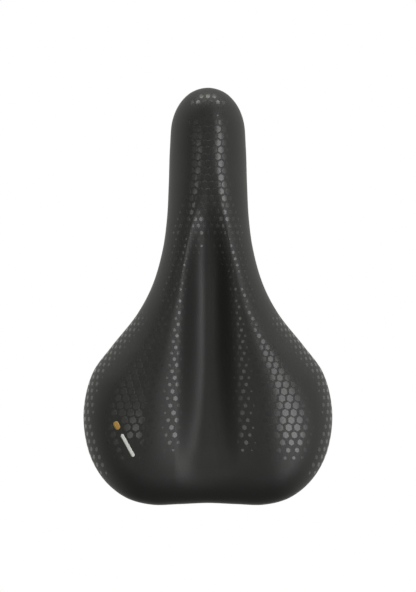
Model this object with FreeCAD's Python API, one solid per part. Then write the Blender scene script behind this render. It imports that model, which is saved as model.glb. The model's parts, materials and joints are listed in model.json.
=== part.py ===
"""Bicycle saddle with gel pads, plastic base, one-piece steel rail and rear elastomer suspension.

Millimetres. +Y points to the nose, +X to the rider's right, +Z up. The origin is the middle of the
seatpost clamp zone: halfway between the two straight rails, at the height of their axes.
"""
import FreeCAD, Part
import math
import os
from FreeCAD import Vector

os.makedirs("parts", exist_ok=True)

# ---- driving dimensions -------------------------------------------------------------------------
# Half of the plan outline, nose tip to tail: (half width, y). The other half is its mirror image.
HALF_OUTLINE = [
    (0, 146), (10.5, 143.2), (18.2, 135.9), (22.9, 125.2), (24.5, 108), (25.3, 84), (26.4, 62),
    (29.1, 42), (35.5, 19.5), (45.4, 0.5), (62.0, -20.5), (73.9, -36.8), (79.4, -56),
    (79.6, -73.5), (75.0, -92), (65.5, -107), (52, -117.3), (36, -121.6), (18, -121.3), (0, -120.6),
]
NOSE_Y, TAIL_Y = 146.0, -121.6

COVER_WALL = 1.3          # moulded skin
FOAM_GAP = 0.05           # bond line between skin and foam
BASE_INSET = 5.4          # base edge inside the outline
BASE_WALL = 3.0
BASE_RIM_WALL = 2.8
BASE_RIM_DROP = 6.0       # how far the rim and ribs hang below the plate
RIB_WALL = 2.2
HEM_ABOVE_RIM = 2.5       # the plastic rim shows this far below the skin
HEM_TUCK = 4.0            # the skin's lower edge is pulled in this far under the widest line
SIDE_ROLL = 19.0          # plan width of the rounded shoulder
SIDE_ROLL_DROP = 13.0     # height of the rounded shoulder
END_ROLL = 19.0           # length of the rounded nose and tail

# Underside of the base plate: z = level + slope y + bow y^2 - dish x^2
PLATE_LEVEL, PLATE_SLOPE, PLATE_BOW, PLATE_DISH = 41.5, -0.075, 0.00009, 0.0011

# Top of the padding, as pairs of y and a value. Each side is a rounded crest that falls away to
# both sides, and a channel runs between the two.
CREST_HEIGHT = [(170, 57), (140, 62), (115, 64.6), (85, 65.4), (50, 65), (20, 65.6), (-15, 68.6),
                (-45, 73.2), (-70, 76.8), (-88, 78), (-104, 77.2), (-121, 73.5), (-150, 62)]
CREST_OFFSET = [(170, 0), (104, 0), (83, 2.5), (66, 6.5), (45, 13.5), (28, 18.5), (10, 21.8), (-14, 27),
                (-29, 30.7), (-49, 35.8), (-73, 38), (-100, 40), (-150, 43)]
CREST_REACH = [(170, 9), (100, 9), (83, 8.6), (66, 7.4), (45, 4.9), (28, 3.9), (10, 5), (-14, 7.6),
               (-29, 10.9), (-49, 14.6), (-73, 16.8), (-150, 20)]
INNER_SHARE = [(170, 1), (-70, 1), (-85, 0.8), (-100, 0.4), (-121, 0.1), (-150, 0.1)]
CHANNEL_DEPTH = [(170, 0), (73, 0), (60, 2.6), (45, 6.2), (20, 11), (-10, 13.5), (-35, 14.5), (-60, 13.5),
                 (-82, 9.5), (-97, 4.5), (-112, 1.2), (-121, 0.5), (-150, 0)]
CHANNEL_FLOOR = [(170, 0), (60, 0), (45, 1), (-30, 1), (-60, 2), (-80, 3.5), (-100, 5), (-150, 5)]
CHANNEL_EDGE = [(170, 12), (62, 13), (45, 14.5), (28, 16.5), (-10, 19), (-30, 20), (-60, 20.5), (-80, 21),
                (-100, 21.5), (-150, 22)]
REACH_SLOPE, CREST_MAX_SLOPE = 0.344, 0.6   # slope at the reach, and far from the crest
CREST_SOFTNESS = 0.25                       # share of the crest offset that rounds the middle

RAIL_R = 3.5              # 7 mm steel wire
RAIL_SPACING = 44.0       # standard rail gauge, axis to axis
CLAMP_LENGTH = 76.0       # straight stretch that a seatpost clamps
FRONT_BEND_R, REAR_BEND_R, LOOP_BEND_R = 25.0, 16.0, 8.0
LOOP_Y, LOOP_Z, LOOP_HALF = 106.0, 27.0, 13.2   # nose loop, which is the hinge axis
PADDLE_Z, PADDLE_X = 25.5, 34.0
PADDLE_W, PADDLE_T = 13.0, 3.0
PADDLE_START_Y, PADDLE_FLAT_Y = -74.2, -79.3
SWAGE = 0.1               # the flattened end starts this much thicker than the wire

BUMPER_X, BUMPER_Y = 34.0, -97.0
BUMPER_R, BUMPER_BORE_R = 10.0, 4.2
BRIDGE_T = 3.0
BOSS_Z, BOSS_R, BOSS_HEIGHT = 46.0, 12.0, 7.5
NUT_FLOOR = 2.0           # thickness of the boss's floor under the nut
CUP_T = 1.5
BOLT_R, BOLT_HOLE_R = 3.0, 3.6
BOLT_HEAD_R, BOLT_HEAD_T = 5.6, 4.2
NUT_AF, NUT_T = 10.0, 5.0
RIVET_Y, RIVET_R = -83.2, 2.0

BUSH_R, BUSH_LENGTH, BUSH_CLEARANCE = 5.5, 12.0, 0.05
FLANGE_R, FLANGE_T = 6.3, 1.0
SOCKET_HALF_W, SOCKET_LENGTH = 9.0, 30.0
KEEPER_T, KEEPER_HALF_W = 2.5, 4.9
KEEPER_SCREW_Y = 11.3     # screws ahead of and behind the hinge axis
SCREW_R, SCREW_LENGTH = 1.75, 12.0
GEL_DEPTH, GEL_T = 3.5, 7.0
SIDES = {"left": -1, "right": 1}


# ---- helpers ------------------------------------------------------------------------------------
def save(shape, name):
    """Writes one sub-part, after checking that it is a valid set of solids."""
    solids = [s for s in shape.Solids if s.Volume > 0.5]
    shape = solids[0] if len(solids) == 1 else Part.makeCompound(solids)
    print(f"{name}: {len(solids)} solid(s), {shape.Volume / 1000:.2f} cm3, valid {shape.isValid()}")
    shape.exportStep(f"parts/{name}.step")
    return shape


def spline_through(points, step_count=10):
    """Points along a smooth (centripetal Catmull-Rom) line through the half outline."""
    first, last = points[1], points[-2]
    ends = [(-first[0], first[1])] + list(points) + [(-last[0], last[1])]
    p = [Vector(x, y, 0) for x, y in ends]
    found = []
    for a, b, c, d in zip(p, p[1:], p[2:], p[3:]):
        knots = [0.0]
        for u, v in ((a, b), (b, c), (c, d)):
            knots.append(knots[-1] + math.sqrt((v - u).Length))
        t0, t1, t2, t3 = knots
        for i in range(step_count):
            t = t1 + (t2 - t1) * i / step_count
            ab = a * ((t1 - t) / (t1 - t0)) + b * ((t - t0) / (t1 - t0))
            bc = b * ((t2 - t) / (t2 - t1)) + c * ((t - t1) / (t2 - t1))
            cd = c * ((t3 - t) / (t3 - t2)) + d * ((t - t2) / (t3 - t2))
            abc = ab * ((t2 - t) / (t2 - t0)) + bc * ((t - t0) / (t2 - t0))
            bcd = bc * ((t3 - t) / (t3 - t1)) + cd * ((t - t1) / (t3 - t1))
            found.append(abc * ((t2 - t) / (t2 - t1)) + bcd * ((t - t1) / (t2 - t1)))
    found.append(p[-2])
    return found


EDGE = spline_through(HALF_OUTLINE)


def inset_edge(inset):
    """The half outline moved inwards, nose to tail, as points."""
    moved = []
    for i, point in enumerate(EDGE):
        along = EDGE[min(i + 1, len(EDGE) - 1)] - EDGE[max(i - 1, 0)]
        inwards = Vector(along.y, -along.x, 0).normalize()
        moved.append(point + inwards * inset)
    return [Vector(max(p.x, 0), p.y, 0) for p in moved]


def half_width(y, inset=0.0):
    """Half the outline's width at y, after moving it inwards."""
    edge = inset_edge(inset)
    for a, b in zip(edge, edge[1:]):
        if b.y <= y <= a.y and a.y > b.y:
            return a.x + (b.x - a.x) * (a.y - y) / (a.y - b.y)
    return 0.0


def read(table, y):
    """A smooth value from a table of (y, value) in falling y, by cubic Hermite steps."""
    if y >= table[0][0]:
        return table[0][1]
    for i in range(len(table) - 1):
        (y0, v0), (y1, v1) = table[i], table[i + 1]
        if y1 <= y <= y0:
            before, after = table[max(i - 1, 0)], table[min(i + 2, len(table) - 1)]
            slope0 = (v1 - before[1]) / (y1 - before[0])
            slope1 = (after[1] - v0) / (after[0] - y0)
            span = y1 - y0
            t = (y - y0) / span
            return (v0 * (2 * t**3 - 3 * t**2 + 1) + slope0 * span * (t**3 - 2 * t**2 + t)
                    + v1 * (3 * t**2 - 2 * t**3) + slope1 * span * (t**3 - t**2))
    return table[-1][1]


def plate_z(x, y):
    """Underside of the base plate."""
    return PLATE_LEVEL + PLATE_SLOPE * y + PLATE_BOW * y * y - PLATE_DISH * x * x


def hem_z(y):
    """Lower edge of the skin, just above the lower edge of the base rim."""
    return plate_z(half_width(y, BASE_INSET), y) - BASE_RIM_DROP + HEM_ABOVE_RIM


def smooth_step(t):
    t = min(max(t, 0.0), 1.0)
    return t * t * (3 - 2 * t)


def top_z(x, y):
    """Top of the padding before its edges are rounded."""
    crest, height = read(CREST_OFFSET, y), read(CREST_HEIGHT, y)
    soft = CREST_SOFTNESS * crest
    away = math.hypot(x, soft) - math.hypot(crest, soft)
    bend = read(CREST_REACH, y) * math.sqrt((CREST_MAX_SLOPE / REACH_SLOPE) ** 2 - 1)
    fall = CREST_MAX_SLOPE * (math.hypot(away, bend) - bend)
    if away < 0:
        fall *= read(INNER_SHARE, y)
    dome = height - fall
    floor_half, edge = read(CHANNEL_FLOOR, y), read(CHANNEL_EDGE, y)
    above_floor = dome - (height - read(CHANNEL_DEPTH, y))
    sunk = (above_floor + math.hypot(above_floor, 1.0)) / 2
    return dome - sunk * (1 - smooth_step((abs(x) - floor_half) / (edge - floor_half)))


# ---- padding: skin, foam and gel ----------------------------------------------------------------
def section(y, inset, bottom):
    """Closed outline of the padding at y: skin line over the top, straight line underneath."""
    half = half_width(y, inset)
    from_end = min(NOSE_Y - inset - y, y - TAIL_Y - inset)
    end_share = min(from_end / END_ROLL, 1.0)
    end_drop = SIDE_ROLL_DROP * (1 - math.sqrt(max(0.0, 1 - (1 - end_share) ** 2)))
    roll = min(SIDE_ROLL, 0.85 * half)
    widest_z = top_z(half, y) - SIDE_ROLL_DROP - inset
    hem = hem_z(y)
    tuck = min(HEM_TUCK, 0.25 * half)
    side = []
    for share in (1.0, 0.66, 0.33):
        side.append((half - tuck * share**2, widest_z + (hem + bottom - widest_z) * share))
    roll_drop = SIDE_ROLL_DROP - end_drop
    for degrees in (90, 72, 54, 36, 18):
        angle = math.radians(degrees)
        x = half - roll * (1 - math.sin(angle))
        side.append((x, top_z(x, y) - inset - end_drop - roll_drop * (1 - math.cos(angle))))
    flat = half - roll
    for share in (1.0, 0.8, 0.6, 0.4, 0.2):
        side.append((flat * share, top_z(flat * share, y) - inset - end_drop))
    centre = [(0, top_z(0, y) - inset - end_drop)]
    points = side + centre + [(-x, z) for x, z in reversed(side)]
    points = [Vector(x, y, z) for x, z in points]
    over = Part.BSplineCurve()
    over.interpolate(Points=points, Parameters=[i / (len(points) - 1) for i in range(len(points))])
    under = Part.LineSegment(points[-1], points[0])
    return Part.Wire([over.toShape(), under.toShape()])


def padding_solid(inset, bottom):
    """Everything inside the skin line, moved inwards, down to `bottom` above the skin's hem."""
    stations = [145.2, 142.5, 138, 131, 121, 106, 88, 68, 50, 34, 18, 3, -12, -26, -42, -60, -78,
                -94, -106, -114, -118.5, -120.6]
    ends = NOSE_Y - inset - 0.6, TAIL_Y + inset + 0.8
    inner = [y for y in stations if ends[1] + 1 < y < ends[0] - 1]
    wires = [section(y, inset, bottom) for y in [ends[0], *inner, ends[1]]]
    return Part.makeLoft(wires, True, False)


def plate_slab(low, high):
    """The space between two copies of the base plate's underside, at these heights above it."""
    grid = [[Vector(x, y, plate_z(x, y) + low) for y in range(-150, 171, 40)]
            for x in range(-100, 101, 25)]
    surface = Part.BSplineSurface()
    surface.interpolate(grid)
    return surface.toShape().extrude(Vector(0, 0, high - low))


def outline_prism(inset, low=-60.0, high=140.0):
    """The plan outline moved inwards and extruded."""
    right = inset_edge(inset)[::5]
    if right[-1].y != inset_edge(inset)[-1].y:
        right.append(inset_edge(inset)[-1])
    left = [Vector(-p.x, p.y, 0) for p in reversed(right[1:-1])]
    closed = Part.BSplineCurve()
    closed.interpolate(Points=[p + Vector(0, 0, low) for p in right + left], PeriodicFlag=True)
    return Part.Face(Part.Wire(closed.toShape())).extrude(Vector(0, 0, high - low))


def gel_pads():
    """Gel pads moulded under the skin: the padding's own shape, cut to ovals."""
    layer = padding_solid(GEL_DEPTH, 20).cut(padding_solid(GEL_DEPTH + GEL_T, 0))
    ovals = {
        "gel_pad_left": (-40, -66, 37, 25, 102),
        "gel_pad_right": (40, -66, 37, 25, 78),
        "gel_pad_nose": (0, 105, 20, 11, 90),
    }
    pads = {}
    for name, (x, y, long_r, short_r, turn) in ovals.items():
        rim = Part.Ellipse(Vector(0, 0, 0), long_r, short_r).toShape()
        rim.rotate(Vector(), Vector(0, 0, 1), turn)
        rim.translate(Vector(x, y, 0))
        oval = Part.Face(Part.Wire(rim)).extrude(Vector(0, 0, 100))
        pads[name] = layer.common(oval)
    return pads


# ---- rail ---------------------------------------------------------------------------------------
def rounded_path(points, radii):
    """Edges of straight runs joined by tangent arcs, through the points."""
    edges, start = [], points[0]
    for before, corner, after, radius in zip(points, points[1:], points[2:], radii):
        back, on = (before - corner).normalize(), (after - corner).normalize()
        half_turn = (math.pi - back.getAngle(on)) / 2
        reach = radius * math.tan(half_turn)
        enter, leave = corner + back * reach, corner + on * reach
        middle_way = (back + on).normalize()
        middle = corner + middle_way * (radius / math.cos(half_turn) - radius)
        edges.append(Part.LineSegment(start, enter).toShape())
        edges.append(Part.Arc(enter, middle, leave).toShape())
        start = leave
    edges.append(Part.LineSegment(start, points[-1]).toShape())
    return edges


def rail_points(side):
    """Centreline of one side, from the nose loop's corner to just inside the flat paddle."""
    gauge = RAIL_SPACING / 2
    front_corner_y = CLAMP_LENGTH / 2 + 5.6
    rear_corner_y = -CLAMP_LENGTH / 2 - 8.8
    flat_corner_y = rear_corner_y - 17.4
    return [
        Vector(side * LOOP_HALF, LOOP_Y, LOOP_Z),
        Vector(side * gauge, front_corner_y, 0), Vector(side * gauge, rear_corner_y, 0),
        Vector(side * PADDLE_X, flat_corner_y, PADDLE_Z),
        Vector(side * PADDLE_X, PADDLE_START_Y - 1.5 * SWAGE, PADDLE_Z),
    ]


def paddle_blank(side):
    """The wire's flattened end: a round-to-flat neck and a flat tongue."""
    middle = Vector(side * PADDLE_X, PADDLE_START_Y, PADDLE_Z)
    to_x, to_z = Vector(RAIL_R + SWAGE, 0, 0), Vector(0, 0, RAIL_R + SWAGE)
    slant = math.sqrt(0.5)
    ring = [to_x, (to_x + to_z) * slant, to_z, (to_z - to_x) * slant, -to_x,
            (-to_x - to_z) * slant, -to_z, (to_x - to_z) * slant]
    arcs = [Part.Arc(middle + ring[i - 1], middle + ring[i], middle + ring[(i + 1) % 8]).toShape()
            for i in (0, 2, 4, 6)]
    round_end = Part.Wire(arcs)
    x, z, y = PADDLE_W / 2, PADDLE_T / 2, PADDLE_FLAT_Y
    centre = Vector(side * PADDLE_X, y, PADDLE_Z)
    corners = [Vector(x, 0, -z), Vector(x, 0, z), Vector(-x, 0, z), Vector(-x, 0, -z)]
    corners = [centre + c for c in corners]
    flat_end = Part.Wire([Part.LineSegment(corners[i], corners[(i + 1) % 4]).toShape()
                          for i in range(4)])
    neck = Part.makeLoft([round_end, flat_end], True, True)
    tongue = Part.makeBox(PADDLE_W, y - BUMPER_Y, PADDLE_T,
                          Vector(side * PADDLE_X - x, BUMPER_Y, PADDLE_Z - z))
    tip = Part.makeCylinder(x, PADDLE_T, Vector(side * PADDLE_X, BUMPER_Y, PADDLE_Z - z))
    return neck.fuse([tongue, tip]).removeSplitter()


def vertical_hole(x, y, radius):
    return Part.makeCylinder(radius, 200, Vector(x, y, -60))


def rail():
    """One wire, bent from the left paddle round the nose loop to the right paddle."""
    bends = [LOOP_BEND_R, FRONT_BEND_R, REAR_BEND_R, REAR_BEND_R]
    path = rounded_path(rail_points(-1)[::-1] + rail_points(1), bends[::-1] + bends)
    end = path[0].valueAt(path[0].FirstParameter)
    profile = Part.Wire(Part.Circle(end, Vector(0, 1, 0), RAIL_R).toShape())
    wire = Part.Wire(path).makePipeShell([profile], True, False)
    wire = wire.fuse([paddle_blank(1), paddle_blank(-1)])
    for side in SIDES.values():
        wire = wire.cut(vertical_hole(side * BUMPER_X, BUMPER_Y, BOLT_HOLE_R))
        wire = wire.cut(vertical_hole(side * PADDLE_X, RIVET_Y, RIVET_R))
    return wire


# ---- rear suspension ----------------------------------------------------------------------------
BRIDGE_Z = PADDLE_Z + PADDLE_T / 2
BUMPER_BOTTOM = BRIDGE_Z + BRIDGE_T
BUMPER_TOP = BOSS_Z - CUP_T
WASHER_Z = PADDLE_Z - PADDLE_T / 2 - CUP_T


def bridge():
    """Stamped steel plate that ties the two rail ends together and carries the bumpers."""
    lobe_r, ear_half_w, ear_front_y, web = 13.0, 7.5, -79.3, 16.0
    outline = Part.makePlane(2 * BUMPER_X, web, Vector(-BUMPER_X, BUMPER_Y - web / 2, BRIDGE_Z))
    for side in SIDES.values():
        centre = Vector(side * BUMPER_X, BUMPER_Y, BRIDGE_Z)
        lobe = Part.Face(Part.Wire(Part.Circle(centre, Vector(0, 0, 1), lobe_r).toShape()))
        ear = Part.makePlane(2 * ear_half_w, ear_front_y - BUMPER_Y,
                             centre - Vector(ear_half_w, 0, 0))
        outline = outline.fuse([lobe, ear])
    plate = outline.removeSplitter().extrude(Vector(0, 0, BRIDGE_T))
    # A pressed-up bead stiffens the middle, and its underside is hollow.
    bead_l, bead_w, bead_h, bead_wall = 34.0, 8.0, 2.5, 1.5
    bead = Part.makeBox(bead_l, bead_w, BRIDGE_T / 2 + bead_h)
    bead.translate(Vector(-bead_l / 2, BUMPER_Y - bead_w / 2, BRIDGE_Z + BRIDGE_T / 2))
    top_edges = [e for e in bead.Edges if e.CenterOfMass.z > BRIDGE_Z + BRIDGE_T + 0.9 * bead_h]
    bead = bead.makeFillet(1.2, top_edges)
    hollow = Part.makeBox(bead_l - 2 * bead_wall, bead_w - 2 * bead_wall, BRIDGE_T + bead_h)
    hollow.translate(Vector(bead_wall - bead_l / 2, BUMPER_Y + bead_wall - bead_w / 2,
                            BRIDGE_Z - bead_wall))
    plate = plate.fuse(bead).cut(hollow)
    for side in SIDES.values():
        plate = plate.cut(vertical_hole(side * BUMPER_X, BUMPER_Y, BOLT_HOLE_R))
        plate = plate.cut(vertical_hole(side * PADDLE_X, RIVET_Y, RIVET_R))
    return plate


def rivets():
    """One rivet through each rail end and the bridge: shank and two domed heads."""
    made = []
    head_r, head_t = 3.3, 1.6
    for side in SIDES.values():
        foot = Vector(side * PADDLE_X, RIVET_Y, PADDLE_Z - PADDLE_T / 2)
        shank = Part.makeCylinder(RIVET_R, PADDLE_T + BRIDGE_T, foot)
        top = Part.makeCone(head_r, 1.8, head_t, foot + Vector(0, 0, PADDLE_T + BRIDGE_T))
        bottom = Part.makeCone(1.8, head_r, head_t, foot - Vector(0, 0, head_t))
        made.append(shank.fuse([top, bottom]).removeSplitter())
    return Part.makeCompound(made)


def bumper(side):
    """Ribbed elastomer barrel with a through bore."""
    height = BUMPER_TOP - BUMPER_BOTTOM
    waist = BUMPER_R - 1.6
    heights = [0, 0.06, 0.2, 0.32, 0.38, 0.5, 0.62, 0.68, 0.8, 0.94, 1]
    radii = [BUMPER_R - 0.8, BUMPER_R, BUMPER_R, waist, waist, BUMPER_R, waist, waist, BUMPER_R,
             BUMPER_R, BUMPER_R - 0.8]
    outer = [Vector(r, 0, height * h) for r, h in zip(radii, heights)]
    inner = [Vector(BUMPER_BORE_R, 0, height), Vector(BUMPER_BORE_R, 0, 0)]
    outline = Part.makePolygon(outer + inner + outer[:1])
    barrel = Part.Face(outline).revolve(Vector(), Vector(0, 0, 1), 360)
    barrel.translate(Vector(side * BUMPER_X, BUMPER_Y, BUMPER_BOTTOM))
    return barrel


def washer(side, z, outer_r):
    ring = Part.makeCylinder(outer_r, CUP_T, Vector(side * BUMPER_X, BUMPER_Y, z))
    return ring.cut(vertical_hole(side * BUMPER_X, BUMPER_Y, BOLT_R + 0.2))


def bolt(side):
    """Button-head bolt with a hexagon socket, up through rail, bridge and bumper."""
    axis = Vector(side * BUMPER_X, BUMPER_Y, WASHER_Z)
    head = Part.makeCylinder(BOLT_HEAD_R, BOLT_HEAD_T, axis - Vector(0, 0, BOLT_HEAD_T))
    rim = [e for e in head.Edges if abs(e.CenterOfMass.z - (WASHER_Z - BOLT_HEAD_T)) < 0.01
           and e.Curve.TypeId == "Part::GeomCircle"]
    head = head.makeFillet(2.2, rim)
    shank = Part.makeCylinder(BOLT_R, BOSS_Z + NUT_FLOOR + NUT_T - WASHER_Z, axis)
    socket = hexagon(2.0, 2.6, axis - Vector(0, 0, BOLT_HEAD_T))
    return head.fuse(shank).removeSplitter().cut(socket)


def hexagon(flat_r, height, foot):
    """Hexagonal prism with its flats this far from its axis."""
    corner_r = flat_r / math.cos(math.pi / 6)
    points = [foot + Vector(corner_r * math.cos(a), corner_r * math.sin(a), 0)
              for a in (i * math.pi / 3 for i in range(7))]
    return Part.Face(Part.makePolygon(points)).extrude(Vector(0, 0, height))


def nut(side):
    """Captive nut in the pocket on top of the base boss."""
    foot = Vector(side * BUMPER_X, BUMPER_Y, BOSS_Z + NUT_FLOOR)
    body = hexagon(NUT_AF / 2, NUT_T, foot)
    return body.cut(Part.makeCylinder(BOLT_R, 3 * NUT_T, foot - Vector(0, 0, NUT_T)))


# ---- nose hinge ---------------------------------------------------------------------------------
# The socket block and the keeper plate meet at the height of the loop's axis.
def along_x(radius, length, y=LOOP_Y, z=LOOP_Z):
    return Part.makeCylinder(radius, length, Vector(-length / 2, y, z), Vector(1, 0, 0))


def nose_bush():
    """Nylon bush between the steel loop and the plastic socket, with a flange at each end."""
    body = along_x(BUSH_R, BUSH_LENGTH)
    for end in (-BUSH_LENGTH / 2, BUSH_LENGTH / 2 - FLANGE_T):
        body = body.fuse(Part.makeCylinder(FLANGE_R, FLANGE_T, Vector(end, LOOP_Y, LOOP_Z),
                                           Vector(1, 0, 0)))
    return body.removeSplitter().cut(along_x(RAIL_R + BUSH_CLEARANCE, 40))


def nose_keeper():
    """Plate under the loop that closes the nose socket, with a half-round cradle."""
    width = 2 * KEEPER_HALF_W
    body = Part.makeBox(width, SOCKET_LENGTH, KEEPER_T,
                        Vector(-KEEPER_HALF_W, LOOP_Y - SOCKET_LENGTH / 2, LOOP_Z - KEEPER_T))
    lower = Part.makeBox(40, 40, 20, Vector(-20, LOOP_Y - 20, LOOP_Z - 20))
    cradle = along_x(BUSH_R + KEEPER_T, width).common(lower)
    body = body.fuse(cradle).removeSplitter().cut(along_x(BUSH_R, 40))
    for way in (-1, 1):
        body = body.cut(vertical_hole(0, LOOP_Y + way * KEEPER_SCREW_Y, SCREW_R + 0.15))
    return body


def keeper_screws():
    """Two pan-head screws that hold the keeper to the base."""
    made = []
    for way in (-1, 1):
        foot = Vector(0, LOOP_Y + way * KEEPER_SCREW_Y, LOOP_Z - KEEPER_T)
        head = Part.makeCone(2.4, 3.3, 2.2, foot - Vector(0, 0, 2.2))
        shank = Part.makeCylinder(SCREW_R, SCREW_LENGTH, foot)
        slot_a = Part.makeBox(3.6, 0.8, 1.2, foot + Vector(-1.8, -0.4, -2.2))
        slot_b = Part.makeBox(0.8, 3.6, 1.2, foot + Vector(-0.4, -1.8, -2.2))
        made.append(head.fuse(shank).removeSplitter().cut(slot_a).cut(slot_b))
    return Part.makeCompound(made)


# ---- base shell ---------------------------------------------------------------------------------
def rib(start, end, wall=RIB_WALL):
    """A vertical wall between two plan points, far taller than the base."""
    a, b = Vector(start[0], start[1], -20), Vector(end[0], end[1], -20)
    along = (b - a).normalize()
    across = Vector(-along.y, along.x, 0) * (wall / 2)
    corners = [a + across, b + across, b - across, a - across, a + across]
    return Part.Face(Part.makePolygon(corners)).extrude(Vector(0, 0, 120))


def base_ribs():
    """Two main ribs from nose to bumpers, a middle pair, and cross ribs."""
    walls = []
    for side in SIDES.values():
        walls.append(rib((side * 10, 96), (side * 13, 30)))
        walls.append(rib((side * 13, 30), (side * BUMPER_X, BUMPER_Y + 6)))
        walls.append(rib((side * BUMPER_X, BUMPER_Y), (side * 44, -135)))
        walls.append(rib((side * 16, 18), (side * 92, -50)))
        walls.append(rib((side * 24, -24), (side * 95, -84)))
        walls.append(rib((side * BUMPER_X, BUMPER_Y), (side * 95, -112)))
    for y, reach in ((74, 30), (48, 34), (20, 17), (-10, 21), (-40, 26), (-70, 31), (-97, 40)):
        walls.append(rib((-reach, y), (reach, y)))
    return walls[0].fuse(walls[1:])


def nose_socket():
    """Block under the nose that sits on the bush, narrowed to clear the bush's flanges."""
    block = Part.makeBox(2 * SOCKET_HALF_W, SOCKET_LENGTH, 40,
                         Vector(-SOCKET_HALF_W, LOOP_Y - SOCKET_LENGTH / 2, LOOP_Z))
    block = block.common(plate_slab(-30, BASE_WALL - 0.5))
    notch_w, notch_l, notch_h = SOCKET_HALF_W - KEEPER_HALF_W, 17.0, 7.0
    for low_x in (-SOCKET_HALF_W, KEEPER_HALF_W):
        block = block.cut(Part.makeBox(notch_w, notch_l, notch_h,
                                       Vector(low_x, LOOP_Y - notch_l / 2, LOOP_Z - 0.1)))
    return block


def base_shell():
    """Plate with a rim and ribs under it, a boss over each bumper and the nose socket."""
    body = outline_prism(BASE_INSET).common(plate_slab(-BASE_RIM_DROP, BASE_WALL))
    pocket = outline_prism(BASE_INSET + BASE_RIM_WALL).common(plate_slab(-30, 0))
    body = body.cut(pocket.cut(base_ribs())).fuse(nose_socket())
    for side in SIDES.values():
        foot = Vector(side * BUMPER_X, BUMPER_Y, BOSS_Z)
        body = body.cut(Part.makeCylinder(BOSS_R + 1, 30, foot - Vector(0, 0, 30)))
        body = body.fuse(Part.makeCylinder(BOSS_R, BOSS_HEIGHT, foot))
        body = body.cut(hexagon(NUT_AF / 2, 20, foot + Vector(0, 0, NUT_FLOOR)))
        body = body.cut(vertical_hole(side * BUMPER_X, BUMPER_Y, BOLT_R + 0.3))
    body = body.removeSplitter().cut(along_x(BUSH_R, 40))
    for way in (-1, 1):
        foot = Vector(0, LOOP_Y + way * KEEPER_SCREW_Y, LOOP_Z - 0.5)
        body = body.cut(Part.makeCylinder(SCREW_R, SCREW_LENGTH - KEEPER_T + 0.5, foot))
    return body


# ---- build --------------------------------------------------------------------------------------
def padding():
    """Skin, gel pads and the foam that fills the space between them and the base."""
    skin = padding_solid(0, 0).cut(padding_solid(COVER_WALL, -3))
    foam = padding_solid(COVER_WALL + FOAM_GAP, 0.5)
    under = outline_prism(BASE_INSET - 0.05).common(plate_slab(-30, BASE_WALL + 0.05))
    foam = foam.cut(under)
    for side in SIDES.values():
        foam = foam.cut(Part.makeCylinder(BOSS_R + 0.1, BOSS_HEIGHT + 0.1,
                                          Vector(side * BUMPER_X, BUMPER_Y, BOSS_Z)))
    pads = gel_pads()
    for pad in pads.values():
        foam = foam.cut(pad)
    return {"cover": skin, "foam_core": foam, **pads}


def build():
    for name, shape in padding().items():
        save(shape, name)
    save(base_shell(), "base_shell")
    save(rail(), "rail")
    save(bridge(), "rear_bridge")
    save(rivets(), "bridge_rivets")
    for name, side in SIDES.items():
        save(bumper(side), f"elastomer_{name}")
        save(washer(side, BUMPER_TOP, BUMPER_R + 1.2), f"cup_washer_{name}")
        save(washer(side, WASHER_Z, 8.0), f"bolt_washer_{name}")
        save(bolt(side), f"suspension_bolt_{name}")
        save(nut(side), f"captive_nut_{name}")
    save(nose_bush(), "nose_bush")
    save(nose_keeper(), "nose_keeper")
    save(keeper_screws(), "keeper_screws")


build()
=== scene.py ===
"""Studio view of a bicycle saddle seen from above, nose up.

Lengths are in millimetres until a mesh is made. Lights, camera and room are in metres.
"""
import bpy
import json
import math
import numpy as np
from mathutils import Matrix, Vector
from mathutils.kdtree import KDTree


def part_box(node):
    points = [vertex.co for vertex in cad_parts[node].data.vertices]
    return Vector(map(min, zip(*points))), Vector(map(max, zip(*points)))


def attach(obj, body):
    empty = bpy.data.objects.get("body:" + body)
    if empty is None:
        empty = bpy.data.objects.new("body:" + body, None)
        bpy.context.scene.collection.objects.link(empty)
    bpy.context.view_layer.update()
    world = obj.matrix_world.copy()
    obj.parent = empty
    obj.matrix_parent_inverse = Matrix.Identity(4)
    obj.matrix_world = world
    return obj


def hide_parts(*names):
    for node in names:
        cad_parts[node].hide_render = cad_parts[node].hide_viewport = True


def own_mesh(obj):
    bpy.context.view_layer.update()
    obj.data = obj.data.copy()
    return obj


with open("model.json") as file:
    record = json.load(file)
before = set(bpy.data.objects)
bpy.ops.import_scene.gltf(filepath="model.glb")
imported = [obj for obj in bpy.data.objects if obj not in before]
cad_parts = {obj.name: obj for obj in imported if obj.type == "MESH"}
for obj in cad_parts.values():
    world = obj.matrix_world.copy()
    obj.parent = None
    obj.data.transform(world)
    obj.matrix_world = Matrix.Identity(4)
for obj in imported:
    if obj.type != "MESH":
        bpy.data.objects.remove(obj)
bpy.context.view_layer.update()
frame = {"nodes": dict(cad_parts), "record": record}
scene = bpy.context.scene
scene.view_settings.view_transform = "Standard"
SEAT, FRAME = "seat", "rail_frame"

# ---- the seat's shape ---------------------------------------------------------------------------
# Half of the plan outline, nose tip to tail, as (half width, y). The other tables hold (y, value).
HALF_OUTLINE = [
    (0, 146), (10.5, 143.2), (18.2, 135.9), (22.9, 125.2), (24.5, 108), (25.3, 84), (26.4, 62),
    (29.1, 42), (35.5, 19.5), (45.4, 0.5), (62.0, -20.5), (73.9, -36.8), (79.4, -56),
    (79.6, -73.5), (75.0, -92), (65.5, -107), (52, -117.3), (36, -121.6), (18, -121.3), (0, -120.6),
]
SHOULDER, SHOULDER_DROP = 19.0, 13.0      # how far in the rounded shoulder starts, and its fall
BASE_INSET, HEM_TUCK, SKIN = 5.4, 4.0, 1.3
HEM_BELOW_PLATE, HEM_LIP, BEAD_DEPTH = 3.5, 0.5, 0.65
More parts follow.
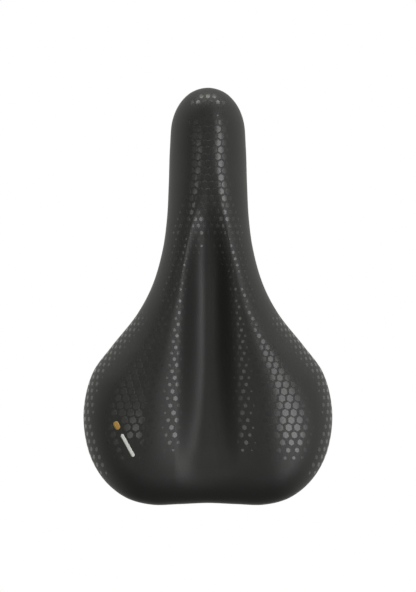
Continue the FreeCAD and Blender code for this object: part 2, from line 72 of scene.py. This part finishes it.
# The crest: its height, its distance from the middle, how wide it is rounded, and how far its inner
# side falls as a share of its outer side.
CREST_HEIGHT = [(170, 57), (140, 62), (115, 64.6), (85, 65.4), (50, 65), (20, 65.6), (-15, 68.6),
                (-45, 73.2), (-70, 76.8), (-88, 78), (-104, 77.2), (-121, 73.5), (-150, 62)]
CREST_OFFSET = [(170, 0), (104, 0), (83, 2.5), (66, 6.5), (45, 13.5), (28, 18.5), (10, 21.8),
                (-14, 27), (-29, 30.7), (-49, 35.8), (-73, 38), (-100, 40), (-150, 43)]
CREST_REACH = [(170, 9), (100, 9), (83, 8.6), (66, 7.4), (45, 4.9), (28, 3.9), (10, 5), (-14, 7.6),
               (-29, 10.9), (-49, 14.6), (-73, 16.8), (-150, 20)]
INNER_SHARE = [(170, 1), (-70, 1), (-85, 0.8), (-100, 0.4), (-121, 0.1), (-150, 0.1)]
# The channel: its depth below the crest, and the half widths of its floor and of its edge.
CHANNEL_DEPTH = [(170, 0), (73, 0), (60, 2.6), (45, 6.2), (20, 11), (-10, 13.5), (-35, 14.5),
                 (-60, 13.5), (-82, 9.5), (-97, 4.5), (-112, 1.2), (-121, 0.5), (-150, 0)]
CHANNEL_FLOOR = [(170, 0), (60, 0), (45, 1), (-30, 1), (-60, 2), (-80, 3.5), (-100, 5), (-150, 5)]
CHANNEL_EDGE = [(170, 12), (62, 13), (45, 14.5), (28, 16.5), (-10, 19), (-30, 20), (-60, 20.5),
                (-80, 21), (-100, 21.5), (-150, 22)]
REACH_SLOPE, CREST_MAX_SLOPE, CREST_SOFTNESS = 0.344, 0.6, 0.25


def read(table, y):
    """A smooth value from a table of (y, value) in falling y, by cubic Hermite steps."""
    y = np.asarray(y, float)
    keys, values = (np.array(column, float) for column in zip(*table))
    span = np.diff(keys)
    slope = np.empty_like(values)
    slope[1:-1] = (values[2:] - values[:-2]) / (keys[2:] - keys[:-2])
    slope[0] = (values[1] - values[0]) / span[0]
    slope[-1] = (values[-1] - values[-2]) / span[-1]
    y = np.clip(y, keys[-1], keys[0])
    i = np.clip(np.searchsorted(-keys, -y, side="right") - 1, 0, len(span) - 1)
    t = (y - keys[i]) / span[i]
    return (values[i] * (2 * t**3 - 3 * t**2 + 1) + slope[i] * span[i] * (t**3 - 2 * t**2 + t)
            + values[i + 1] * (3 * t**2 - 2 * t**3) + slope[i + 1] * span[i] * (t**3 - t**2))


def smooth_step(t):
    """0 below 0, 1 above 1, and a smooth rise between."""
    t = np.clip(t, 0.0, 1.0)
    return t * t * (3 - 2 * t)


def dome_z(x, y):
    """Top of the padding before its edges are rounded."""
    crest, height = read(CREST_OFFSET, y), read(CREST_HEIGHT, y)
    soft = CREST_SOFTNESS * crest
    away = np.hypot(x, soft) - np.hypot(crest, soft)
    bend = read(CREST_REACH, y) * math.sqrt((CREST_MAX_SLOPE / REACH_SLOPE) ** 2 - 1)
    fall = CREST_MAX_SLOPE * (np.hypot(away, bend) - bend)
    fall = np.where(away < 0, fall * read(INNER_SHARE, y), fall)
    dome = height - fall
    floor_half, edge = read(CHANNEL_FLOOR, y), read(CHANNEL_EDGE, y)
    above_floor = dome - (height - read(CHANNEL_DEPTH, y))
    sunk = (above_floor + np.hypot(above_floor, 1.0)) / 2
    return dome - sunk * (1 - smooth_step((np.abs(x) - floor_half) / (edge - floor_half)))


def plate_z(x, y):
    """Underside of the base plate."""
    return 41.5 - 0.075 * y + 0.00009 * y * y - 0.0011 * x * x


def outline_points(step_count=40):
    """The right half of the plan outline as a smooth (centripetal Catmull-Rom) line."""
    first, last = HALF_OUTLINE[1], HALF_OUTLINE[-2]
    p = np.array([(-first[0], first[1]), *HALF_OUTLINE, (-last[0], last[1])], float)
    t = np.linspace(0, 1, step_count, endpoint=False)[:, None]
    found = []
    for a, b, c, d in zip(p, p[1:], p[2:], p[3:]):
        k0 = 0.0
        k1 = k0 + np.linalg.norm(b - a) ** 0.5
        k2 = k1 + np.linalg.norm(c - b) ** 0.5
        k3 = k2 + np.linalg.norm(d - c) ** 0.5
        k = k1 + (k2 - k1) * t
        ab = (a * (k1 - k) + b * (k - k0)) / (k1 - k0)
        bc = (b * (k2 - k) + c * (k - k1)) / (k2 - k1)
        cd = (c * (k3 - k) + d * (k - k2)) / (k3 - k2)
        abc = (ab * (k2 - k) + bc * (k - k0)) / (k2 - k0)
        bcd = (bc * (k3 - k) + cd * (k - k1)) / (k3 - k1)
        found.append((abc * (k2 - k) + bcd * (k - k1)) / (k2 - k1))
    return np.vstack([*found, p[-2][None]])


HALF = outline_points()
LOOP = np.vstack([HALF[:-1], (HALF * (-1, 1))[:0:-1]])       # clockwise from the nose tip
EDGE_COUNT = 760


def even_loop(count):
    """The closed outline as evenly spaced points, with the inward direction at each."""
    closed = np.vstack([LOOP, LOOP[:1]])
    along = np.concatenate([[0], np.cumsum(np.linalg.norm(np.diff(closed, axis=0), axis=1))])
    at = np.linspace(0, along[-1], count, endpoint=False)
    points = np.column_stack([np.interp(at, along, closed[:, i]) for i in (0, 1)])
    way = np.roll(points, -3, axis=0) - np.roll(points, 3, axis=0)
    way /= np.linalg.norm(way, axis=1)[:, None]
    return points, np.column_stack([way[:, 1], -way[:, 0]])


EDGE, INWARD = even_loop(EDGE_COUNT)
NEAR_EDGE = KDTree(EDGE_COUNT)
for i, (x, y) in enumerate(EDGE):
    NEAR_EDGE.insert((x, y, 0), i)
NEAR_EDGE.balance()


def edge_distance(x, y):
    """Distance from plan points to the outline, inside it."""
    flat = np.column_stack([np.ravel(x), np.ravel(y)])
    nearest = np.array([NEAR_EDGE.find((px, py, 0))[1] for px, py in flat.tolist()])
    gaps = []
    for back, on in ((-1, 0), (0, 1)):
        a, b = EDGE[(nearest + back) % EDGE_COUNT], EDGE[(nearest + on) % EDGE_COUNT]
        share = np.clip(((flat - a) * (b - a)).sum(1) / ((b - a) ** 2).sum(1), 0, 1)
        gaps.append(np.linalg.norm(flat - a - (b - a) * share[:, None], axis=1))
    return np.minimum(*gaps).reshape(np.shape(x))


def top_z(x, y, distance=None):
    """Height of the skin's upper side, with the rounded shoulder all round."""
    if distance is None:
        distance = edge_distance(x, y)
    share = 1 - np.minimum(distance / SHOULDER, 1)
    return dome_z(x, y) - SHOULDER_DROP * (1 - np.sqrt(np.maximum(1 - share**2, 0)))


# ---- meshes -------------------------------------------------------------------------------------
def make_object(name, points, faces, materials, body, smooth=True):
    """A mesh from points in millimetres, riding on a body if one is named."""
    mesh = bpy.data.meshes.new(name)
    mesh.from_pydata((np.asarray(points, float) / 1000).tolist(), [], faces)
    mesh.validate()
    mesh.polygons.foreach_set("use_smooth", [smooth] * len(mesh.polygons))
    made = bpy.data.objects.new(name, mesh)
    scene.collection.objects.link(made)
    for material in materials:
        mesh.materials.append(material)
    if body:
        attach(made, body)
    return made


def ring_faces(ring_count, width):
    """Quads between successive closed rings of equally many points."""
    i = np.arange(width)
    j = (i + 1) % width
    faces = []
    for ring in range(ring_count - 1):
        low, high = ring * width, (ring + 1) * width
        faces += np.column_stack([low + i, low + j, high + j, high + i]).tolist()
    return faces


FLANK_RINGS, SHOULDER_RINGS, TOP_RINGS = 25, 31, 71
PARALLEL_UNTIL, SPINE_ENDS = 12.0, (-64.0, 118.0)


def cover_mesh():
    """The moulded skin: hem, flank, shoulder and top as rings round the outline."""
    base = EDGE + INWARD * BASE_INSET
    hem_z = plate_z(base[:, 0], base[:, 1]) - HEM_BELOW_PLATE
    wide_z = top_z(EDGE[:, 0], EDGE[:, 1], np.zeros(EDGE_COUNT))
    rings = []

    def ring(plan, z):
        rings.append(np.column_stack([plan, z]))

    inner = EDGE + INWARD * (HEM_TUCK + SKIN)
    # Up the inside of the hem, round its bead and up the flank.
    for rise in (9.0, 4.0, 1.2, HEM_LIP):
        ring(inner, hem_z + rise)
    middle = EDGE + INWARD * (HEM_TUCK + SKIN / 2)
    for degrees in (30, 60, 90, 120, 150):
        angle = math.radians(degrees)
        ring(middle + INWARD * (SKIN / 2 * math.cos(angle)),
             hem_z + HEM_LIP - BEAD_DEPTH * math.sin(angle))
    for share in np.linspace(1, 0, FLANK_RINGS + 1)[:-1]:
        tuck = HEM_TUCK * share**2
        ring(EDGE + INWARD * tuck, wide_z + (hem_z + HEM_LIP - wide_z) * share)
    # Over the shoulder parallel to the outline, then across the top towards the spine.
    for degrees in np.linspace(90, 0, SHOULDER_RINGS):
        depth = SHOULDER * (1 - math.sin(math.radians(degrees)))
        if depth > PARALLEL_UNTIL:
            break
        plan = EDGE + INWARD * depth
        ring(plan, top_z(plan[:, 0], plan[:, 1], np.full(EDGE_COUNT, depth)))
    start = EDGE + INWARD * PARALLEL_UNTIL
    spine = np.column_stack([np.zeros(EDGE_COUNT), np.clip(EDGE[:, 1], *SPINE_ENDS)])
    for share in np.linspace(0, 1, TOP_RINGS + 1)[:-1]:
        plan = start + (spine - start) * share
        ring(plan, top_z(plan[:, 0], plan[:, 1]))
    points = np.vstack(rings)
    faces = ring_faces(len(rings), EDGE_COUNT)
    last = (len(rings) - 1) * EDGE_COUNT
    # The innermost ring closes onto the spine: left and right points at the same y share one.
    keys, spine_ids, extra = {}, [], []
    for x, y in spine:
        key = round(y, 1)
        if key not in keys:
            keys[key] = len(points) + len(extra)
            extra.append((0.0, key, float(top_z(np.array([0.0]), np.array([key]))[0])))
        spine_ids.append(keys[key])
    for i in range(EDGE_COUNT):
        j = (i + 1) % EDGE_COUNT
        corner = [last + i, last + j, spine_ids[j], spine_ids[i]]
        faces.append(corner if corner[2] != corner[3] else corner[:3])
    return np.vstack([points, extra]), faces


# ---- materials ----------------------------------------------------------------------------------
TONE_SCALE = 18.0      # of the slow tone changes, per metre


def new_material(name):
    material = bpy.data.materials.new(name)
    material.use_nodes = True
    return material, material.node_tree.nodes, material.node_tree.links


def noise_node(nodes, links, where, scale, roughness):
    noise = nodes.new("ShaderNodeTexNoise")
    noise.inputs["Scale"].default_value = scale
    noise.inputs["Detail"].default_value = 3.0
    noise.inputs["Roughness"].default_value = roughness
    links.new(where.outputs["Object"], noise.inputs["Vector"])
    return noise


def ramp_node(nodes, links, source, low, high, low_at=0.35, high_at=0.65):
    """A colour ramp between two greys or colours, fed by a value."""
    ramp = nodes.new("ShaderNodeValToRGB")
    ends = ramp.color_ramp.elements
    ends[0].position, ends[1].position = low_at, high_at
    ends[0].color = (*low, 1) if hasattr(low, "__len__") else (low, low, low, 1)
    ends[1].color = (*high, 1) if hasattr(high, "__len__") else (high, high, high, 1)
    links.new(source, ramp.inputs["Fac"])
    return ramp.outputs["Color"]


def grained(name, dark, light, rough, grain_scale, grain_depth, specular=0.5, metallic=0.0,
            coat=0.0, coat_rough=0.1, cell=False):
    """A surface with slow tone changes, a fine grain in relief and uneven roughness."""
    material, nodes, links = new_material(name)
    shader = nodes["Principled BSDF"]
    where = nodes.new("ShaderNodeTexCoord")
    tone = noise_node(nodes, links, where, TONE_SCALE, 0.6)
    links.new(ramp_node(nodes, links, tone.outputs["Fac"], dark, light),
              shader.inputs["Base Color"])
    fine = noise_node(nodes, links, where, grain_scale, 0.55)
    links.new(ramp_node(nodes, links, fine.outputs["Fac"], rough[0], rough[1], 0.3, 0.7),
              shader.inputs["Roughness"])
    shader.inputs["Specular IOR Level"].default_value = specular
    shader.inputs["Metallic"].default_value = metallic
    shader.inputs["Coat Weight"].default_value = coat
    shader.inputs["Coat Roughness"].default_value = coat_rough
    height = fine.outputs["Fac"]
    if cell:
        cells = nodes.new("ShaderNodeTexVoronoi")
        cells.inputs["Scale"].default_value = 0.8 * grain_scale
        links.new(where.outputs["Object"], cells.inputs["Vector"])
        height = cells.outputs["Distance"]
    bump = nodes.new("ShaderNodeBump")
    bump.inputs["Strength"].default_value = 0.5
    bump.inputs["Distance"].default_value = grain_depth
    links.new(height, bump.inputs["Height"])
    links.new(bump.outputs["Normal"], shader.inputs["Normal"])
    return material


SKIN_MATTE = grained("skin_matte", (0.0110, 0.0117, 0.0107), (0.0140, 0.0147, 0.0135),
                     (0.45, 0.54), 1900.0, 0.00005, specular=0.5, cell=True)
SKIN_GLOSS = grained("skin_gloss", (0.0075, 0.0080, 0.0074), (0.0095, 0.0100, 0.0092),
                     (0.44, 0.52), 1500.0, 0.00001, specular=0.4, coat=0.95, coat_rough=0.21)
PLASTIC = grained("base_plastic", (0.016, 0.016, 0.017), (0.024, 0.024, 0.025), (0.42, 0.58),
                  1300.0, 0.00005, specular=0.45, cell=True)
FOAM = grained("foam", (0.10, 0.10, 0.11), (0.14, 0.14, 0.15), (0.8, 0.95), 900.0, 0.0002)
GEL = grained("gel", (0.5, 0.56, 0.6), (0.6, 0.64, 0.66), (0.12, 0.2), 300.0, 0.00002)
NYLON = grained("nylon", (0.62, 0.61, 0.57), (0.7, 0.69, 0.65), (0.35, 0.45), 900.0, 0.00002)
RUBBER = grained("elastomer", (0.03, 0.03, 0.032), (0.042, 0.042, 0.044), (0.6, 0.75), 1500.0,
                 0.00004, specular=0.35)
COATED = grained("rail_coating", (0.012, 0.012, 0.013), (0.018, 0.018, 0.019), (0.28, 0.4),
                 2200.0, 0.00001, specular=0.5, coat=0.25)
ZINC = grained("zinc", (0.55, 0.55, 0.53), (0.66, 0.66, 0.64), (0.24, 0.38), 1200.0, 0.00001,
               metallic=1.0)
PALE_PRINT = grained("pale_print", (0.72, 0.72, 0.70), (0.80, 0.80, 0.78), (0.5, 0.6), 1500.0,
                     0.00001)
GOLD_PRINT = grained("gold_print", (0.42, 0.24, 0.05), (0.5, 0.29, 0.07), (0.4, 0.5), 1500.0,
                     0.00001)

SLOT_MATERIAL = {"foam": FOAM, "gel": GEL, "base_plastic": PLASTIC, "nylon": NYLON,
                 "rail_steel": COATED, "zinc_steel": ZINC, "elastomer": RUBBER,
                 "cover_skin": SKIN_MATTE}
for part in frame["record"]["subparts"]:
    node = frame["nodes"][part["node"]]
    node.data.materials.clear()
    node.data.materials.append(SLOT_MATERIAL[part["material_slot"]])

# ---- cover --------------------------------------------------------------------------------------
points, faces = cover_mesh()
cover = make_object("cover_skin", points, faces, [SKIN_MATTE], SEAT)
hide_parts("cover", "foam_core", "gel_pad_left", "gel_pad_right", "gel_pad_nose")

# ---- raised hexagons ----------------------------------------------------------------------------
ROW_STEP = [(146, 3.7), (136, 4.2), (125, 4.4), (60, 4.35), (20, 3.8), (-25, 3.75), (-45, 4.4),
            (-70, 4.7), (-95, 5.0), (-120, 5.2)]
PITCH = [(146, 4.3), (60, 4.25), (20, 3.9), (-20, 4.5), (-50, 5.3), (-75, 5.75), (-120, 6)]
FIRST_ROW_Y, LAST_ROW_Y = 139.9, -112
SMALLEST_SHARE, CLEAR_OF_SIDE, CLEAR_OF_MARK = 0.14, 1.2, 4.0
ROWS = np.arange(-119.0, 144.6, 1.0)
ARC_STEP, ARC_COUNT = 0.5, 250
FLANK_POINTS = 12      # more points of each section, below the widest line
MARK_START, MARK_END = np.array([-63.0, -68.0]), np.array([-48.0, -90.0])
MARK_WAY = MARK_END - MARK_START      # the printed stripes lie along this line


def half_width(y):
    """Half width of the outline at y, behind the nose tip."""
    right = HALF[np.argmax(HALF[:, 1]):]
    falling = np.minimum.accumulate(right[:, 1])
    return np.interp(-y, -falling, right[:, 0])


def section_table():
    """For each row y, points along the section by arc length from the middle: x, z."""
    table = np.zeros((len(ROWS), ARC_COUNT, 2))
    length = np.zeros(len(ROWS))
    for k, y in enumerate(ROWS):
        half = float(half_width(y))
        turn = np.linspace(0, math.pi / 2, 220)
        x = half * np.sin(turn)
        z = top_z(x, np.full_like(x, y))
        x = np.concatenate([x, np.full(FLANK_POINTS, half)])
        z = np.concatenate([z, z[-1] - np.linspace(0.5, 6, FLANK_POINTS)])
        run = np.concatenate([[0], np.cumsum(np.hypot(np.diff(x), np.diff(z)))])
        at = np.arange(ARC_COUNT) * ARC_STEP
        table[k, :, 0] = np.interp(at, run, x)
        table[k, :, 1] = np.interp(at, run, z)
        length[k] = run[-1 - FLANK_POINTS]
    return table, length


TABLE, ARC_LENGTH = section_table()


def on_surface(arc, y):
    """Points (x, y, z) at this arc length from the middle, left of it when negative."""
    side = np.where(arc < 0, -1.0, 1.0)
    row = np.clip((y - ROWS[0]), 0, len(ROWS) - 1.001)
    column = np.clip(np.abs(arc) / ARC_STEP, 0, ARC_COUNT - 1.001)
    k, j = row.astype(int), column.astype(int)
    u, v = (row - k)[..., None], (column - j)[..., None]
    found = ((TABLE[k, j] * (1 - v) + TABLE[k, j + 1] * v) * (1 - u)
             + (TABLE[k + 1, j] * (1 - v) + TABLE[k + 1, j + 1] * v) * u)
    return np.stack([side * found[..., 0], y, found[..., 1]], axis=-1)


def hex_share(x, y, margin):
    """Size of a hexagon as a share of its cell, from where it lies. Zero means none."""
    crest, reach = float(read(CREST_OFFSET, y)), float(read(CREST_REACH, y))
    across = abs(x)
    if y > 133:      # the nose tip
        share = 0.6 * (1 - smooth_step((across - 10.0) / 4.0))
    elif y > 84:      # the nose
        share = np.interp(y, [122, 130], [0.84, 0.0]) * (1 - smooth_step((across - 9.5) / 5.5))
    elif y > 52:      # the front of the channel
        share = (np.interp(y, [52, 84], [0.5, 0.84])
                 * (1 - smooth_step((across - crest - 8.5) / 5.5)))
    else:      # a band along the crest, and a narrower one inside it above the channel's wall
        on_crest = np.interp(y, [-100, -92, -82, -72, -55, -30, -8, 30, 52],
                             [0.0, 0.32, 0.6, 0.76, 0.81, 0.76, 0.58, 0.42, 0.5])
        spread = reach + np.interp(y, [-40, 0, 50], [6.0, 3.0, 2.0])
        beyond = abs(across - crest - 0.75 * reach) / spread
        outer = on_crest * math.exp(-6.0 * max(0.0, beyond - 0.3) ** 2)
        on_inner = np.interp(y, [-94, -80, -20, 30, 50], [0.0, 0.56, 0.52, 0.4, 0.44])
        inner_at = np.interp(y, [-80, -10, 20, 50], [21.5, 19.5, 15.5, 4.0])
        inner_width = 4.5 if across < inner_at else 8.0
        inner = on_inner * math.exp(-((across - inner_at) / inner_width) ** 2)
        share = max(outer, inner)
        wall = np.interp(y, [-80, -10, 20, 36, 46], [13.5, 11.5, 9.5, 6.0, 0.0])
        share *= smooth_step((across - wall) / 2.0)
    # Near the outline the bands stop, and beside the humps small ones follow the rim.
    if margin >= 13:
        return share * smooth_step((y + 101) / 8)
    if -110 < y < 6:
        rim = 0.48 * smooth_step((y + 110) / 14) * smooth_step((6 - y) / 12)
        return max(share * smooth_step((margin - 8) / 5), rim * smooth_step((8.5 - margin) / 3.0))
    return share if margin > 5 else 0.0


def hexagons():
    """Every raised hexagon as a low wall and a lid that follow the skin."""
    rows, y = [], FIRST_ROW_Y
    while y > LAST_ROW_Y:
        rows.append(y)
        y -= float(read(ROW_STEP, y))
    points, faces = [], []
    corner = np.radians(np.arange(6) * 60 + 30)
    for k, y in enumerate(rows):
        pitch, step = float(read(PITCH, y)), float(read(ROW_STEP, y))
        limit = float(np.interp(y, ROWS, ARC_LENGTH)) - CLEAR_OF_SIDE
        count = int(limit / pitch) + 1
        for i in range(-count, count + 1):
            arc = (i + 0.5 * (k % 2)) * pitch
            if abs(arc) > limit:
                continue
            x = float(on_surface(np.array(arc), np.array(y))[0])
            margin = float(edge_distance(np.array([x]), np.array([y]))[0])
            share = float(hex_share(x, y, margin))
            along = np.clip(((arc, y) - MARK_START) @ MARK_WAY / (MARK_WAY @ MARK_WAY), 0, 1)
            from_mark = np.linalg.norm((arc, y) - MARK_START - MARK_WAY * along)
            if share < SMALLEST_SHARE or from_mark < CLEAR_OF_MARK:
                continue
            wide = share * (0.6 * pitch / math.sqrt(3) + 0.4 * step / 1.5)
            tall = 1.03 * wide
            lift = 0.03 + 0.04 * share
            for size_share, height in ((1.0, -0.04), (0.95, lift), (0.95, lift), (0.5, lift)):
                points.append(raised(arc + wide * size_share * np.cos(corner),
                                     y + tall * size_share * np.sin(corner), height))
            points.append(raised(np.array([arc]), np.array([y]), lift))
    flat = np.vstack(points)
    for first in range(0, len(flat), 25):      # four rings of six points and a middle
        for low in (first, first + 12):
            for i in range(6):
                j = (i + 1) % 6
                faces.append([low + i, low + j, low + 6 + j, low + 6 + i])
        low = first + 18
        for i in range(6):
            faces.append([low + i, low + (i + 1) % 6, first + 24])
    return flat, faces


def raised(arc, y, height):
    """Points this far out of the skin."""
    arc, y = np.asarray(arc, float), np.asarray(y, float)
    here = on_surface(arc, y)
    step = 0.3
    across = on_surface(arc + step, y) - on_surface(arc - step, y)
    along = on_surface(arc, y + step) - on_surface(arc, y - step)
    normal = np.cross(across, along)
    return here + height * normal / np.linalg.norm(normal, axis=-1)[..., None]


points, faces = hexagons()
dots = make_object("raised_hexagons", points, faces, [SKIN_GLOSS], SEAT)


# A stripe's section, as (share of the half width, height above the skin).
STRIPE_SECTION = [(-1, -0.03), (-1, 0.08), (-0.5, 0.09), (0, 0.09), (0.5, 0.09), (1, 0.08),
                  (1, -0.03)]


def stripe(name, start, end, wide, material):
    """A plain printed stripe with round ends, lying on the skin between two (arc, y) points."""
    start, end = np.array(start, float), np.array(end, float)
    length = np.linalg.norm(end - start)
    way = (end - start) / length
    side = np.array([-way[1], way[0]])
    points, faces = [], []
    rows, half = np.linspace(0, length, 41), wide / 2
    for at in rows:
        from_end = min(at, length - at)
        reach = half if from_end > half else math.sqrt(max(half**2 - (half - from_end) ** 2, 1e-6))
        for share, height in STRIPE_SECTION:
            arc, y = start + way * at + side * reach * share
            points.append(raised(arc, y, height))
    across = len(STRIPE_SECTION)
    for i in range(len(rows) - 1):
        for j in range(across - 1):
            low = across * i + j
            faces.append([low, low + 1, low + across + 1, low + across])
    made = make_object(name, points, faces, [material], SEAT)


stripe("gold_stripe", MARK_START, MARK_START + 0.22 * MARK_WAY, 3.6, GOLD_PRINT)
stripe("pale_stripe", MARK_START + 0.36 * MARK_WAY, MARK_END, 2.1, PALE_PRINT)


# ---- rear elastomers ----------------------------------------------------------------------------
BORE, GROOVE_DEPTH, END_ROUNDING = 4.25, 1.6, 0.9      # radius of the hole, and depths


def elastomer(name):
    """Ribbed barrel with rounded ribs."""
    low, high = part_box(name)
    centre, height = (low + high) / 2 * 1000, (high.z - low.z) * 1000
    radius = (high.x - low.x) * 500
    profile = [(BORE, 0.0), (radius - 1.0, 0.0)]
    for share in np.linspace(0, 1, 65):
        groove = min(abs(share - 0.35), abs(share - 0.65)) / 0.075
        depth = GROOVE_DEPTH * math.exp(-groove**2)
        end = max(0.0, 1 - min(share, 1 - share) / 0.07)
        profile.append((radius - depth - END_ROUNDING * end**2, height * share))
    profile += [(radius - 1.0, height), (BORE, height)]
    turn = np.linspace(0, 2 * math.pi, 96, endpoint=False)
    points = [(centre.x + r * math.cos(a), centre.y + r * math.sin(a), low.z * 1000 + z)
              for r, z in profile for a in turn]
    points = np.array(points)
    faces = ring_faces(len(profile), len(turn))
    last = (len(profile) - 1) * len(turn)
    i = np.arange(len(turn))
    j = (i + 1) % len(turn)
    faces += np.column_stack([last + i, last + j, j, i]).tolist()      # the bore's wall
    made = make_object(name + "_soft", points, [f[::-1] for f in faces], [RUBBER], FRAME)
    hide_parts(name)
    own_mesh(made)


elastomer("elastomer_left")
elastomer("elastomer_right")


# ---- studio -------------------------------------------------------------------------------------
def floor_material():
    """Pale floor, clear from below so that the underside can be looked at."""
    material, nodes, links = new_material("floor")
    glow = nodes.new("ShaderNodeEmission")
    glow.inputs["Color"].default_value = (1, 1, 1, 1)
    glow.inputs["Strength"].default_value = 1.0
    clear = nodes.new("ShaderNodeBsdfTransparent")
    side = nodes.new("ShaderNodeNewGeometry")
    mix = nodes.new("ShaderNodeMixShader")
    links.new(side.outputs["Backfacing"], mix.inputs["Fac"])
    links.new(glow.outputs["Emission"], mix.inputs[1])
    links.new(clear.outputs["BSDF"], mix.inputs[2])
    links.new(mix.outputs["Shader"], nodes["Material Output"].inputs["Surface"])
    return material


HALF_FLOOR = 4000
rail_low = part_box("rail")[0].z * 1000
floor_corners = [(HALF_FLOOR * x, HALF_FLOOR * y, rail_low)
                 for x, y in ((-1, -1), (1, -1), (1, 1), (-1, 1))]
floor = make_object("floor", floor_corners, [[0, 1, 2, 3]], [floor_material()], None, smooth=False)
floor.visible_glossy = floor.visible_diffuse = False

ROOM_LOW, ROOM_BEHIND, ROOM_ABOVE = 1.0, 0.0, 0.165      # brightness of the room
ROOM_COLOUR = (0.81, 0.82, 0.77, 1)
world = bpy.data.worlds.new("studio")
scene.world = world
world.use_nodes = True
nodes, links = world.node_tree.nodes, world.node_tree.links
nodes.clear()
seen = nodes.new("ShaderNodeBackground")
seen.inputs["Color"].default_value = (1, 1, 1, 1)
lit = nodes.new("ShaderNodeBackground")
lit.inputs["Color"].default_value = ROOM_COLOUR
path = nodes.new("ShaderNodeLightPath")
mix = nodes.new("ShaderNodeMixShader")
output = nodes.new("ShaderNodeOutputWorld")
links.new(path.outputs["Is Camera Ray"], mix.inputs["Fac"])
links.new(lit.outputs["Background"], mix.inputs[1])
links.new(seen.outputs["Background"], mix.inputs[2])
links.new(mix.outputs["Shader"], output.inputs["Surface"])
# The room is dim above, pale low down at the sides and in front, and darker behind the tail.
where = nodes.new("ShaderNodeTexCoord")
parts = nodes.new("ShaderNodeSeparateXYZ")
links.new(where.outputs["Generated"], parts.inputs["Vector"])


def world_range(source, from_low, from_high, to_low, to_high):
    node = nodes.new("ShaderNodeMapRange")
    node.interpolation_type = "SMOOTHSTEP"
    for name, value in zip(("From Min", "From Max", "To Min", "To Max"),
                           (from_low, from_high, to_low, to_high)):
        node.inputs[name].default_value = value
    links.new(source, node.inputs["Value"])
    return node.outputs["Result"]


def world_math(operation, a, b):
    node = nodes.new("ShaderNodeMath")
    node.operation = operation
    for i, value in enumerate((a, b)):
        if isinstance(value, float):
            node.inputs[i].default_value = value
        else:
            links.new(value, node.inputs[i])
    return node.outputs[0]


low_down = world_range(parts.outputs["Z"], -0.15, 0.42, ROOM_LOW, 0.0)
not_behind = world_range(parts.outputs["Y"], -0.97, -0.38, ROOM_BEHIND, 1.0)
glow = world_math("MULTIPLY", low_down, not_behind)
links.new(world_math("ADD", glow, ROOM_ABOVE), lit.inputs["Strength"])


def softbox(name, target, tilt, turn, distance, width, length, watts, colour=(1, 1, 1)):
    """A rectangular light, tilted from straight up by `tilt` towards the bearing `turn`.

    Its length runs along y. A light that stands nearly level in front has its length along x.
    """
    data = bpy.data.lights.new(name, "AREA")
    data.shape, data.size, data.size_y = "RECTANGLE", width, length
    data.energy, data.color = watts, colour
    light = bpy.data.objects.new(name, data)
    scene.collection.objects.link(light)
    a, b = math.radians(tilt), math.radians(turn)
    z_axis = np.array([math.sin(a) * math.cos(b), math.sin(a) * math.sin(b), math.cos(a)])
    light.location = np.array(target) + z_axis * distance
    y_axis = np.array([0, 1.0, 0]) - z_axis * z_axis[1]
    if np.linalg.norm(y_axis) < 0.3:
        y_axis = np.array([1.0, 0, 0]) - z_axis * z_axis[0]
    y_axis /= np.linalg.norm(y_axis)
    x_axis = np.cross(y_axis, z_axis)
    light.rotation_mode = "QUATERNION"
    axes = Matrix(np.column_stack([x_axis, y_axis, z_axis]).tolist())
    light.rotation_quaternion = axes.to_quaternion()


MIDDLE = (0, 0.01, 0.06)
WARM_WHITE, SOFT_WHITE = (1, 1, 0.93), (1, 1, 0.95)
softbox("right_strip", MIDDLE, 37, 0, 1.5, 0.54, 1.8, 8.8)
softbox("right_halo", (0, -0.06, 0.06), 38, 0, 1.5, 1.1, 0.8, 3.4)
softbox("left_strip", (0, 0.07, 0.06), 24, 180, 1.5, 0.5, 0.46, 1.4, WARM_WHITE)
softbox("left_fill", MIDDLE, 46, 180, 1.5, 0.5, 1.6, 0.8, WARM_WHITE)
softbox("front_soft", MIDDLE, 76, 90, 1.6, 0.5, 3.0, 19, SOFT_WHITE)
softbox("rear_soft", MIDDLE, 34, -90, 1.6, 1.4, 0.5, 0.6)
softbox("right_fill", MIDDLE, 68, 0, 1.6, 0.6, 1.6, 1)

camera_data = bpy.data.cameras.new("camera")
camera = bpy.data.objects.new("camera", camera_data)
scene.collection.objects.link(camera)
scene.camera = camera
# The view is FRAME_HEIGHT high at the height SEEN_AT_Z, from DISTANCE above it.
FRAME_HEIGHT, DISTANCE, SEEN_AT_Z, SENSOR = 0.3807, 2.0, 0.050, 36
camera_data.sensor_width = SENSOR
camera_data.lens = SENSOR * DISTANCE / FRAME_HEIGHT
camera.location = (0.00006, 0.0119, SEEN_AT_Z + DISTANCE)
camera.rotation_euler = (0, 0, 0)
camera_data.clip_end = 50
